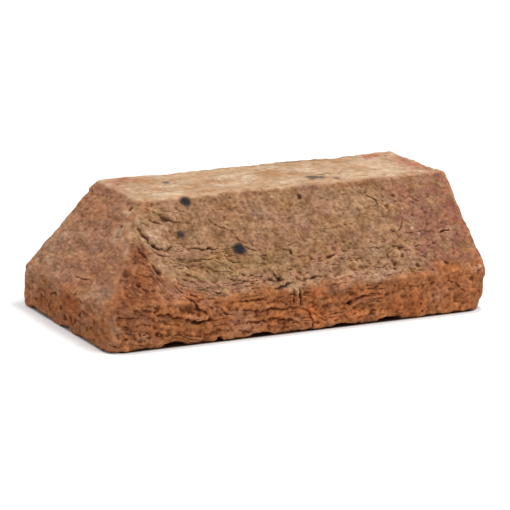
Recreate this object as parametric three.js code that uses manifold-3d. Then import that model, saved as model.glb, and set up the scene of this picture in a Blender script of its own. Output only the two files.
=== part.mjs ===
// A plinth external return: one solid clay brick that turns the outer corner of a plinth course.
// Its long front and its left end are splayed back from a low upright band to a narrow top face;
// its back and its right end are plain and upright. It was made by hand in a mould, so the clay
// of its two splayed sides lies in long swells and folds, and its edges are chipped.
//
// Millimetres, +Z up. X runs along the length, and the long splayed front looks towards -Y.
// The origin is the middle of the bed, the underside that lies in the mortar.

import * as THREE from "three";
import { ConvexGeometry } from "three/addons/geometries/ConvexGeometry.js";
import { mergeVertices } from "three/addons/utils/BufferGeometryUtils.js";
import Module from "manifold-3d";

const wasm = await Module();
wasm.setup();

// Driving dimensions of the brick.
const LENGTH = 228; // along X
const WIDTH = 110; // along Y
const HEIGHT = 67; // bed to top face
const BAND_HEIGHT = 23.5; // the upright band under both splays
const FRONT_SPLAY_RUN = 50.5; // how far the front splay leans back by the time it reaches the top
const END_SPLAY_RUN = 42; // the same for the splay on the left end

// How far each kind of corner is worn, as the radius of the ball that would lie snugly in it.
const BED_WEAR = 2.5; // the four corners of the bed
const KNEE_WEAR = 4; // where the band turns into the splays
const TOP_WEAR = 2; // the corners of the top face
const BROKEN_WEAR = 5; // the thin corner between the end splay, the back and the top, worn most

const ARC_STEPS = 6; // steps across the rounding of one corner
const FLUSH = 1e-6; // how far rounding error may push a corner through a face

// The swells that dragging left in the two splayed sides. The highest crests stay on the flat face.
const SWELL_DEPTH = 1.1; // from the highest crests down to the deepest hollows
const CREST_FLAT = 0.15; // how much of the crests the flat face cuts off
const SWELL_SPACING = 17; // from crest to crest up the side
const SWELL_LENGTH = 58; // from crest to crest along the side
const SWELL_SKEW = 53; // how far up the side those crests have moved along by one of them
const UPWARD_SHARE = 0.6; // how much of the depth comes from the crests up the side
const SWELL_WANDER = 0.3; // how far a swell strays up or down the side, in spacings
const WANDER_LENGTH = 95; // and within how much of the side's length

// Beside the hip the swells of the front turn up, where the clay was pushed into the mould's corner.
const TURN_FROM_HIP = 31; // where they are steepest, from the left end of the front
const TURN_RISE = 15; // how far up they reach there
const TURN_REACH = 11; // how soon they level out

const SHEET_COLUMNS = 30; // facets of the swells along the front, and as wide on the end
const BAND_ROWS = 5; // facets up the band
const SPLAY_ROWS = 12; // and up the splay
const SHEET_MARGIN = 6; // how far the cut that leaves the swells runs past a side, all round

// A fold is cut by an egg that reaches into the clay as deep as the fold, and stands this many
// times as tall. FOLD_RIM is then how wide the fold is for an egg one millimetre wide.
const EGG_HEIGHT = 4;
const FOLD_RIM = Math.sqrt(1 - (1 - 1 / EGG_HEIGHT) ** 2);
const EGG_SIDES = 12; // facets round an egg
const EGG_RINGS = 10; // and from pole to pole

// The deepest folds of the front, most of them beside the hip. Each has its middle this far along
// the front and this high, is half as long and half as wide as given, so deep, and turned so far
// in degrees.
const FRONT_FOLDS = [
  { along: 36.5, height: 50, halfLength: 11, halfWidth: 3, depth: 1.4, turn: -68 },
  { along: 45, height: 45.5, halfLength: 9, halfWidth: 3, depth: 1.4, turn: -8 },
  { along: 31.5, height: 43.5, halfLength: 7, halfWidth: 2.5, depth: 1.2, turn: -75 },
  { along: 52, height: 34, halfLength: 10, halfWidth: 2.5, depth: 1.2, turn: -25 },
  { along: 102, height: 28.5, halfLength: 5, halfWidth: 2.5, depth: 1.2, turn: -60 },
  { along: 119, height: 28, halfLength: 9, halfWidth: 2, depth: 1, turn: 0 },
  { along: 180, height: 36, halfLength: 7, halfWidth: 2, depth: 1, turn: -20 },
  { along: 35, height: 17.5, halfLength: 12, halfWidth: 2, depth: 1.2, turn: -12 },
  { along: 96, height: 9, halfLength: 14, halfWidth: 2, depth: 1, turn: -4 },
  { along: 112, height: 14, halfLength: 10, halfWidth: 2, depth: 1.3, turn: -6 },
  { along: 147, height: 15, halfLength: 8, halfWidth: 2, depth: 1.4, turn: 15 },
];

// Chips along an edge. Each has its middle this far along the side, is half as long as given, and
// so high.
const FOOT_CHIP_REACH = 7; // how far a chip of the foot reaches in under the brick
const FOOT_CHIPS = [
  { along: 39, halfLength: 8, height: 2.4 },
  { along: 65, halfLength: 3, height: 2.6 },
  { along: 90.5, halfLength: 6.5, height: 2.2 },
  { along: 140, halfLength: 12, height: 1.2 },
  { along: 168, halfLength: 8, height: 2.4 },
];
const BACK_CHIP_REACH = 5; // how far a chip of the top's back edge reaches in over the top
const BACK_CHIPS = [
  { along: 86.5, halfLength: 10, height: 1.2 },
  { along: 109.5, halfLength: 5, height: 1.1 },
  { along: 135.5, halfLength: 8, height: 1.9 },
  { along: 186.5, halfLength: 10, height: 1.1 },
];

const CLAY = new THREE.MeshStandardMaterial({
  name: "fired_clay",
  color: new THREE.Color().setRGB(0.6, 0.4, 0.27, THREE.SRGBColorSpace),
  roughness: 0.95,
  metalness: 0,
});

const X = new THREE.Vector3(1, 0, 0);
const Y = new THREE.Vector3(0, 1, 0);
const Z = new THREE.Vector3(0, 0, 1);

// A face of the brick, as the plane through a point with its normal pointing out of the clay.
function face(normal, point) {
  return new THREE.Plane().setFromNormalAndCoplanarPoint(normal.normalize(), point);
}

// The eight faces, keyed by name.
function brickFaces() {
  const splayRise = HEIGHT - BAND_HEIGHT;
  const frontKnee = new THREE.Vector3(0, -WIDTH / 2, BAND_HEIGHT);
  const endKnee = new THREE.Vector3(-LENGTH / 2, 0, BAND_HEIGHT);
  const bedCentre = new THREE.Vector3(0, 0, 0);
  const topCentre = new THREE.Vector3(0, 0, HEIGHT);
  const backCentre = new THREE.Vector3(0, WIDTH / 2, 0);
  const plainEndCentre = new THREE.Vector3(LENGTH / 2, 0, 0);
  return {
    bed: face(new THREE.Vector3(0, 0, -1), bedCentre),
    top: face(new THREE.Vector3(0, 0, 1), topCentre),
    back: face(new THREE.Vector3(0, 1, 0), backCentre),
    plainEnd: face(new THREE.Vector3(1, 0, 0), plainEndCentre),
    frontBand: face(new THREE.Vector3(0, -1, 0), frontKnee),
    endBand: face(new THREE.Vector3(-1, 0, 0), endKnee),
    frontSplay: face(new THREE.Vector3(0, -splayRise, FRONT_SPLAY_RUN), frontKnee),
    endSplay: face(new THREE.Vector3(-splayRise, 0, END_SPLAY_RUN), endKnee),
  };
}

// The wear of the corner where three named faces meet.
function cornerWear(names) {
  if (names.includes("bed")) return BED_WEAR;
  if (!names.includes("top")) return KNEE_WEAR;
  return names.includes("endSplay") && names.includes("back") ? BROKEN_WEAR : TOP_WEAR;
}

// The centre of the ball of a radius that touches three planes from inside, or null if two of
// the planes are parallel.
function ballCentre(planes, radius) {
  const [a, b, c] = planes.map((plane) => plane.normal);
  const rows = new THREE.Matrix3().set(a.x, a.y, a.z, b.x, b.y, b.z, c.x, c.y, c.z);
  if (Math.abs(rows.determinant()) < FLUSH) return null;
  const offsets = planes.map((plane) => -plane.constant - radius);
  return new THREE.Vector3(...offsets).applyMatrix3(rows.invert());
}

// Points on the patch of a ball between the three places where it touches its planes.
function ballPatch(centre, radius, planes) {
  const points = [];
  for (let i = 0; i <= ARC_STEPS; i++) {
    for (let j = 0; j <= ARC_STEPS - i; j++) {
      const outwards = new THREE.Vector3()
        .addScaledVector(planes[0].normal, i)
        .addScaledVector(planes[1].normal, j)
        .addScaledVector(planes[2].normal, ARC_STEPS - i - j)
        .normalize();
      points.push(centre.clone().addScaledVector(outwards, radius));
    }
  }
  return points;
}

// The worn corners of the solid that the faces enclose. A ball belongs to a corner only where it
// stays behind every other face too.
function wornCorners(faces) {
  const names = Object.keys(faces);
  const points = [];
  names.forEach((first, i) =>
    names.slice(i + 1).forEach((second, j) =>
      names.slice(i + j + 2).forEach((third) => {
        const corner = [first, second, third];
        const planes = corner.map((name) => faces[name]);
        const radius = cornerWear(corner);
        const centre = ballCentre(planes, radius);
        const inside = (plane) => plane.distanceToPoint(centre) <= -radius + FLUSH;
        if (centre && Object.values(faces).every(inside)) {
          points.push(...ballPatch(centre, radius, planes));
        }
      }),
    ),
  );
  return points;
}

// A side of the brick, folded at the knee between its band and its splay. Places on it are given
// by how far along they are and how far up over it, from the corner that is leftmost and lowest.
class SplayedSide {
  constructor({ corner, along, inwards, length, run }) {
    this.corner = corner;
    this.along = along;
    this.length = length;
    this.bandNormal = inwards.clone().negate();
    this.splayUp = Z.clone()
      .multiplyScalar(HEIGHT - BAND_HEIGHT)
      .addScaledVector(inwards, run);
    this.slant = this.splayUp.length();
    this.splayUp.normalize();
    this.splayNormal = along.clone().cross(this.splayUp);
  }

  point(a, b) {
    return this.corner
      .clone()
      .addScaledVector(this.along, a)
      .addScaledVector(Z, Math.min(b, BAND_HEIGHT))
      .addScaledVector(this.splayUp, Math.max(b - BAND_HEIGHT, 0));
  }

  // Which way is out of the clay; at the knee, half-way between the normals of band and splay.
  outwards(b) {
    if (b < BAND_HEIGHT - FLUSH) return this.bandNormal;
    if (b > BAND_HEIGHT + FLUSH) return this.splayNormal;
    return this.bandNormal.clone().add(this.splayNormal).normalize();
  }

  // How far up over the side a height above the bed is.
  upTo(height) {
    const share = (height - BAND_HEIGHT) / (HEIGHT - BAND_HEIGHT);
    return height < BAND_HEIGHT ? height : BAND_HEIGHT + share * this.slant;
  }
}

const FRONT = new SplayedSide({
  corner: new THREE.Vector3(-LENGTH / 2, -WIDTH / 2, 0),
  along: X,
  inwards: Y,
  length: LENGTH,
  run: FRONT_SPLAY_RUN,
});
const END = new SplayedSide({
  corner: new THREE.Vector3(-LENGTH / 2, WIDTH / 2, 0),
  along: Y.clone().negate(),
  inwards: X,
  length: WIDTH,
  run: END_SPLAY_RUN,
});

// How deep the swells lie below the flat face at a place on a side.
function hollowAt(side, a, b) {
  const turnedUp = side === FRONT ? TURN_RISE * Math.exp(-Math.max(a - TURN_FROM_HIP, 0) / TURN_REACH) : 0;
  const wander = SWELL_WANDER * Math.sin((2 * Math.PI * a) / WANDER_LENGTH);
  const upTheSide = Math.sin(2 * Math.PI * ((b - turnedUp) / SWELL_SPACING + wander));
  const alongTheSide = Math.sin(2 * Math.PI * (a / SWELL_LENGTH + b / SWELL_SKEW));
  const swell = UPWARD_SHARE * upTheSide + (1 - UPWARD_SHARE) * alongTheSide;
  return (SWELL_DEPTH * (1 - swell)) / 2 - CREST_FLAT;
}

// A closed geometry as a solid that can be cut.
function solidFrom(geometry) {
  const bare = geometry.clone();
  bare.deleteAttribute("normal");
  bare.deleteAttribute("uv");
  const merged = mergeVertices(bare);
  const mesh = new wasm.Mesh({
    numProp: 3,
    vertProperties: new Float32Array(merged.attributes.position.array),
    triVerts: new Uint32Array(merged.index.array),
  });
  return new wasm.Manifold(mesh);
}

function geometryFrom(solid) {
  const mesh = solid.getMesh();
  const geometry = new THREE.BufferGeometry();
  geometry.setAttribute("position", new THREE.BufferAttribute(mesh.vertProperties, 3));
  geometry.setIndex(new THREE.BufferAttribute(mesh.triVerts, 1));
  geometry.computeVertexNormals();
  return geometry;
}

// What is cut off a side to leave its swells: a sheet that lies on them and reaches outwards.
function swellSheet(side) {
  const columns = Math.round((SHEET_COLUMNS * side.length) / LENGTH);
  const rows = BAND_ROWS + SPLAY_ROWS;
  const sheet = new THREE.BoxGeometry(1, 1, 1, columns, rows, 1);
  const position = sheet.attributes.position;
  for (let i = 0; i < position.count; i++) {
    const column = (position.getX(i) + 0.5) * columns;
    const row = Math.round((position.getY(i) + 0.5) * rows);
    const a = (column / columns) * (side.length + 2 * SHEET_MARGIN) - SHEET_MARGIN;
    const b =
      (Math.min(row, BAND_ROWS) / BAND_ROWS) * (BAND_HEIGHT + SHEET_MARGIN) -
      SHEET_MARGIN +
      (Math.max(row - BAND_ROWS, 0) / SPLAY_ROWS) * (side.slant + SHEET_MARGIN);
    const out = position.getZ(i) > 0 ? SHEET_MARGIN : -hollowAt(side, a, b);
    const point = side.point(a, b).addScaledVector(side.outwards(b), out);
    position.setXYZ(i, point.x, point.y, point.z);
  }
  return solidFrom(sheet);
}

// An egg with its half-axes along three directions, which are at right angles.
function egg(centre, directions, halfAxes) {
  const shape = new THREE.SphereGeometry(1, EGG_SIDES, EGG_RINGS);
  shape.scale(...halfAxes);
  shape.applyMatrix4(new THREE.Matrix4().makeBasis(...directions).setPosition(centre));
  return solidFrom(shape);
}

function foldEgg(side, { along, height, halfLength, halfWidth, depth, turn }) {
  const b = side.upTo(height);
  const outwards = side.outwards(b);
  const lengthways = side.along.clone().applyAxisAngle(outwards, THREE.MathUtils.degToRad(turn));
  const directions = [lengthways, outwards, lengthways.clone().cross(outwards)];
  const tallness = EGG_HEIGHT * depth;
  const centre = side.point(along, b).addScaledVector(outwards, tallness - depth);
  return egg(centre, directions, [halfLength / FOLD_RIM, tallness, halfWidth / FOLD_RIM]);
}

// A chip in an edge that runs along X; start is the left end of that edge's side.
function chipEgg(start, reach, { along, halfLength, height }) {
  const centre = start.clone().addScaledVector(X, along);
  return egg(centre, [X, Y, Z], [halfLength, reach, height]);
}

// The flat-faced brick is the hull of its worn corners: its faces stay flat and its arrises come
// out round. Then its swells, folds and chips are cut.
function makeBrick() {
  const flatFaced = solidFrom(new ConvexGeometry(wornCorners(brickFaces())));
  const topBackLeft = new THREE.Vector3(-LENGTH / 2, WIDTH / 2, HEIGHT);
  const cuts = [
    swellSheet(FRONT),
    swellSheet(END),
    ...FRONT_FOLDS.map((fold) => foldEgg(FRONT, fold)),
    ...FOOT_CHIPS.map((chip) => chipEgg(FRONT.corner, FOOT_CHIP_REACH, chip)),
    ...BACK_CHIPS.map((chip) => chipEgg(topBackLeft, BACK_CHIP_REACH, chip)),
  ];
  const worn = cuts.reduce((solid, cut) => solid.subtract(cut), flatFaced);
  const brick = new THREE.Mesh(geometryFrom(worn), CLAY);
  brick.name = "brick";
  return brick;
}

const part = new THREE.Group();
part.add(makeBrick());

export default part;
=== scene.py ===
"""The looks of the clay plinth brick: its dragged and folded skin, its fired colours, and its studio.

Lengths in this script are millimetres until a mesh, lamp or camera is made, which take metres. Places
on the brick are given on its faces, from the corner that is leftmost and lowest as one looks at that
face from outside. A noise is given the size of its lumps, in one number or along each axis, and then
its seed.
"""

import math
from itertools import product

import bpy
import numpy as np
from mathutils import Matrix, Vector


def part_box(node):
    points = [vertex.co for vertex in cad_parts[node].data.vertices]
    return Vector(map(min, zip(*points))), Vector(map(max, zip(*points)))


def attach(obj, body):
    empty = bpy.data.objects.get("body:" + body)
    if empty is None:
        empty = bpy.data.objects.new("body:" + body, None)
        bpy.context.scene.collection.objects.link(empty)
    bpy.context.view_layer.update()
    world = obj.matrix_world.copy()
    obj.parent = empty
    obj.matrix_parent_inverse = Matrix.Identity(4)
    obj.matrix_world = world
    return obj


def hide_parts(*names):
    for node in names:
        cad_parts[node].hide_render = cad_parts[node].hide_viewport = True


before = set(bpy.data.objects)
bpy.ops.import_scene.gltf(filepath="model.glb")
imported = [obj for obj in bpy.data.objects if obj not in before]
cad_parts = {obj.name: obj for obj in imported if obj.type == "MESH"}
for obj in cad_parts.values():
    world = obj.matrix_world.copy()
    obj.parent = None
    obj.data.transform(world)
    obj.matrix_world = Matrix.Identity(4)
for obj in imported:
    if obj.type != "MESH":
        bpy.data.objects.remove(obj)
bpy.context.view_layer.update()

MM = 0.001  # metres in a millimetre

# ---------- sizes
NODE = "brick"
BOX_LOW, BOX_HIGH = (np.array(corner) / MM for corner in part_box(NODE))
LENGTH, WIDTH, HEIGHT = BOX_HIGH - BOX_LOW
BAND_HEIGHT = 23.5  # the upright band below both splays
FRONT_SPLAY_RUN = 50.5
END_SPLAY_RUN = 42.0
SPLAY_RISE = HEIGHT - BAND_HEIGHT

VOXEL = 0.45  # the grid that the skin is made on
SOFTEN_ROUNDS = 12  # of averaging, which round off the facets of the frame's solid
MOST_TRIANGLES = 195_000


# ---------- faces
def unit(x, y, z):
    return np.array([x, y, z], float) / math.sqrt(x * x + y * y + z * z)


class Face:
    """A side of the brick that may be folded once, at the knee between the band and a splay."""

    def __init__(self, corner, along, up, splay_up=None):
        self.corner, self.along, self.up = np.array(corner, float), along, up
        self.splay_up, self.knee = (up, 0.0) if splay_up is None else (splay_up, BAND_HEIGHT)

    def place(self, path):
        """The points in space of places (a, b) on the face: a along it, b up over it."""
        a, b = np.reshape(path, (-1, 2)).T
        below = np.minimum(b, self.knee)
        above = np.maximum(b - self.knee, 0)
        points = self.corner + np.outer(a, self.along) + np.outer(below, self.up)
        return points + np.outer(above, self.splay_up)

    def coordinates(self, points):
        """The (a, b) of points that lie on the face."""
        offset = points - self.corner
        below = np.minimum(offset @ self.up, self.knee)
        above = np.maximum((offset - self.knee * self.up) @ self.splay_up, 0)
        return offset @ self.along, below + above

    def depth(self, points):
        """How far inside the face the points lie."""
        offset = points - self.corner
        band = -offset @ np.cross(self.along, self.up)
        splay = -(offset - self.knee * self.up) @ np.cross(self.along, self.splay_up)
        return np.minimum(band, splay)


X, Y, Z = np.eye(3)
FRONT = Face(BOX_LOW, X, Z, unit(0, FRONT_SPLAY_RUN, SPLAY_RISE))
END = Face((BOX_LOW[0], BOX_HIGH[1], 0), -Y, Z, unit(END_SPLAY_RUN, 0, SPLAY_RISE))
TOP = Face((BOX_LOW[0], BOX_LOW[1], HEIGHT), X, Y)
BACK = Face((BOX_HIGH[0], BOX_HIGH[1], 0), -X, Z)
PLAIN_END = Face((BOX_HIGH[0], BOX_LOW[1], 0), Y, Z)
BED = Face((BOX_LOW[0], BOX_HIGH[1], 0), X, -Y)
FACES = [FRONT, END, TOP, BACK, PLAIN_END, BED]
FACE_BLEND = 1.3  # how far one face's texture reaches into the next round an arris


# ---------- noise
NOISE_GAIN = 1.7


def gradient_noise(points, seed):
    """Smooth noise in about -1..1, with one lump to each unit cell."""
    rng = np.random.default_rng(seed)
    shuffled = rng.permutation(256)
    slopes = rng.normal(size=(256, 3))
    slopes /= np.linalg.norm(slopes, axis=1)[:, None]
    cell = np.floor(points).astype(np.int64)
    inside = points - cell
    eased = inside**3 * (inside * (inside * 6 - 15) + 10)
    total = np.zeros(len(points))
    for corner in product((0, 1), repeat=3):
        i, j, k = (cell + corner).T & 255
        slope = slopes[shuffled[(shuffled[(shuffled[i] + j) & 255] + k) & 255]]
        share = np.where(corner, eased, 1 - eased).prod(1)
        total += share * ((inside - corner) * slope).sum(1)
    return NOISE_GAIN * total


def fractal(points, size, seed, octaves=3, gain=0.5):
    """Noise whose largest lumps are size across, with finer ones on them."""
    return sum(gain**k * gradient_noise(points / size * 2**k, seed + k) for k in range(octaves))


def plane(a, b, level=0):
    """Points for a noise that varies with a and b only."""
    return np.stack([a, b, level + 0 * a], 1)


def fade(low, high, value):
    """Eases from 0 where value is low to 1 where it is high."""
    t = np.clip((value - low) / (high - low), 0, 1)
    return t * t * (3 - 2 * t)


# ---------- the skin
WANDER = 0.7  # how far a crease or a pit's edge strays from the line it was given
WANDER_SIZE = 3.0
DARK_DEPTH = 1.5  # a crease this deep gets painted shade inside as dark as any
DARK_REACH = 2.2  # and that painted shade ends this many half-widths from its middle
WHOLE_SIZE = 3.4  # the size of the stretches where a crease stays whole or gives out
MOST_WHOLE, WHOLE_BY_DEPTH = 0.8, 0.45  # the deeper a crease is, the less it is broken up
LIP_ENDS = 2.5  # a lip has faded out at this many of its reaches
LIP_SAG = 0.3  # how far the lip laps down over the crease, as a share of its depth
# the crease mark is painted shade: in creases, pits, fold grooves and along the foot
MARKS = ("crease", "iron", "grain")
DRAWN_OUT = (1.0, 0.5, 1.0)  # on the splayed end all texture is drawn out along it


def drawn(noise, skin, *settings, **named):
    """A noise of the skin's points, drawn out along the splayed end."""
    values = noise(skin.points, *settings, **named)
    found = np.flatnonzero(skin.share[END] > 0.01)
    share = skin.share[END][found]
    along_end = noise(skin.points[found] * DRAWN_OUT, *settings, **named)
    values[found] = (1 - share) * values[found] + share * along_end
    return values


class Skin:
    """The brick's surface as arrays: where each point is, how far it is pushed, and what shows there."""

    def __init__(self, points, normals):
        self.points = points
        self.normals = normals
        self.height = np.zeros(len(points))  # pushed out along the normal
        self.shift = np.zeros_like(points)  # moved in any other direction
        self.marks = {name: np.zeros(len(points)) for name in MARKS}
        self.by_x = np.argsort(points[:, 0])
        self.sorted_x = points[self.by_x, 0]
        wander = [gradient_noise(points / WANDER_SIZE, 900 + k) for k in range(3)]
        self.wandering = points + WANDER * np.array(wander).T
        whole = gradient_noise(points / WHOLE_SIZE, 910)
        self.whole = np.clip(0.7 + 0.9 * whole, 0.1, 1)  # how whole a crease is here
        depths = np.array([face.depth(points) for face in FACES])
        self.from_arris = np.partition(depths, 1, axis=0)[1]
        near = np.exp(-(depths - depths.min(0)) / FACE_BLEND)
        self.share = dict(zip(FACES, near / near.sum(0)))
        self.on = {face: face.coordinates(points) for face in FACES}

    def moved(self):
        points = self.points + self.normals * self.height[:, None] + self.shift
        points[:, 2] = np.maximum(points[:, 2], 0)
        return points

    def nearby(self, knots, reach):
        """The points within reach of the box round some knots."""
        low, high = knots.min(0) - reach, knots.max(0) + reach
        first, last = np.searchsorted(self.sorted_x, (low[0], high[0]))
        found = self.by_x[first:last]
        here = self.wandering[found]
        return found[((here[:, 1:] > low[1:]) & (here[:, 1:] < high[1:])).all(1)]

    def mark(self, name, found, strength):
        self.marks[name][found] = np.maximum(self.marks[name][found], strength)


def crease(skin, face, depth, width, *path, lip=0.6, lip_reach=3.6, dark=1.0):
    """Tears the skin along a path: a groove, whose upper lip stands proud and laps down over it, with shade
    painted into the groove.
    """
    path = np.reshape(path, (-1, 2))
    knots = face.place(path)
    found = skin.nearby(knots, LIP_ENDS * lip_reach * width)
    here = skin.wandering[found]
    nearest = np.full(len(found), np.inf)
    uphill = np.zeros(len(found))
    progress = np.zeros(len(found))
    steps = np.linalg.norm(np.diff(knots, axis=0), axis=1)
    walked = np.concatenate([[0], np.cumsum(steps)])
    for k, step in enumerate(steps):
        tangent = (knots[k + 1] - knots[k]) / step
        along = np.clip((here - knots[k]) @ tangent, 0, step)
        offset = here - knots[k] - np.outer(along, tangent)
        distance = np.linalg.norm(offset, axis=1)
        up = face.splay_up if path[k][1] > face.knee else face.up
        closer = distance < nearest
        nearest[closer] = distance[closer]
        uphill[closer] = (offset @ up)[closer]
        progress[closer] = (walked[k] + along[closer]) / walked[-1]
    whole = np.maximum(skin.whole[found], min(MOST_WHOLE, WHOLE_BY_DEPTH * depth))
    taper = whole * np.sin(np.pi * np.clip(progress, 0.04, 0.96)) ** 0.5
    groove = np.exp(-((nearest / width) ** 2))
    bulge = np.exp(-((nearest / (lip_reach * width)) ** 2))
    raised = np.where(uphill > 0, bulge, 0) * (1 - groove)
    skin.height[found] += depth * taper * (lip * raised - groove)
    skin.shift[found] -= np.outer(LIP_SAG * depth * taper * raised, face.splay_up)
    # painted shade inside the groove, the darker the deeper it is
    shade = dark * min(1, depth / DARK_DEPTH) * taper
    skin.mark("crease", found, shade * np.clip(1 - nearest / (DARK_REACH * width), 0, 1))


def round_mark(skin, face, a, b, radius, reach, wander=1.0):
    """The points within reach radii of a place on a face, and how many radii each lies from it."""
    centre = face.place((a, b))[0]
    found = skin.nearby(centre[None], reach * radius)
    here = wander * skin.wandering[found] + (1 - wander) * skin.points[found]
    return found, np.linalg.norm(here - centre, axis=1) / radius


def pit(skin, face, a, b, radius, depth, dark=0.5):
    found, distance = round_mark(skin, face, a, b, radius, 1.6)
    bowl = np.exp(-(distance**3))
    skin.height[found] -= depth * bowl
    # painted shade in the bowl of the pit
    skin.mark("crease", found, dark * bowl)


def lump(skin, face, a, b, radius, proud):
    found, distance = round_mark(skin, face, a, b, radius, 1.8)
    skin.height[found] += proud * np.exp(-(distance**3))


def iron_spot(skin, face, a, b, radius, strength=1.0, proud=0.25):
    """A speck of iron melted out of the clay: nearly black, and slightly raised."""
    found, distance = round_mark(skin, face, a, b, radius, 2, wander=0.5)
    skin.mark("iron", found, strength * (1 - fade(0.55, 1.3, distance)))
    skin.height[found] += proud * np.exp(-(distance**4))


def pale_grain(skin, face, a, b, radius):
    """A grain of sand or crushed brick that shows pale and stands a little proud."""
    found, distance = round_mark(skin, face, a, b, radius, 1.6)
    skin.mark("grain", found, 1 - fade(0.6, 1.2, distance))
    skin.height[found] += 0.5 * radius * np.exp(-(distance**4))


# ---------- what is seen on it
# Flaps on the front, whose swollen upper sides hang over a deep crease: its depth and half-width, how
# far the flap stands proud and from how far up it swells, then the path of the crease.
FRONT_FLAPS = [
    # the leaf-shaped flake near the hip, and the folds that curl round below it
    (2.8, 0.9, 0.6, 3,  34.5, 73,  36.5, 68,  38.5, 63.5,  40, 60.5,  42, 58.7,  45, 58.5,  49, 59.5),
    (2.2, 0.75, 1.1, 4,  38.5, 57.5,  40, 56,  42.5, 54.5,  46, 53.8),
    (1.8, 0.75, 0.8, 5,  30.5, 62,  31, 58,  32.5, 55,  32.8, 52.5),
    (1.8, 0.9, 0.8, 4,  34, 48.5,  35, 45,  37, 43.5),
    (1.6, 0.55, 0.8, 5,  76.5, 74.3,  79, 71,  81, 69.3,  84, 67.5,  87, 66),
    (1.8, 0.65, 1, 5,  49.5, 52.5,  51, 51,  54, 49.5,  58, 48.7,  61, 49.3),
    (1.6, 0.6, 0.9, 5,  59.5, 57.5,  62, 57,  65, 55.4,  69, 56.2,  72, 55.2,  75, 55),
    (1.2, 0.5, 0.8, 4,  49, 81,  51.5, 78,  55, 75,  58, 74.2,  61, 74.6),
    (1, 0.45, 0.7, 4,  43.5, 86,  45.5, 82.5,  48.5, 80.8,  52, 81),
    (1, 0.45, 0.7, 4,  52, 85.5,  55, 82.5,  58, 81,  61.5, 81),
    (0.9, 0.45, 0.6, 4,  41.5, 80,  42.5, 76.5,  45, 74.2,  48, 73.6),
    (2.6, 0.95, 1, 5,  113.3, 31,  116, 29.8,  119, 29.9,  123, 30.6,  127, 30.7),
]
DEEPER, WIDER = 1.3, 1.15  # what the sizes of the next list are multiplied by
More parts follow.
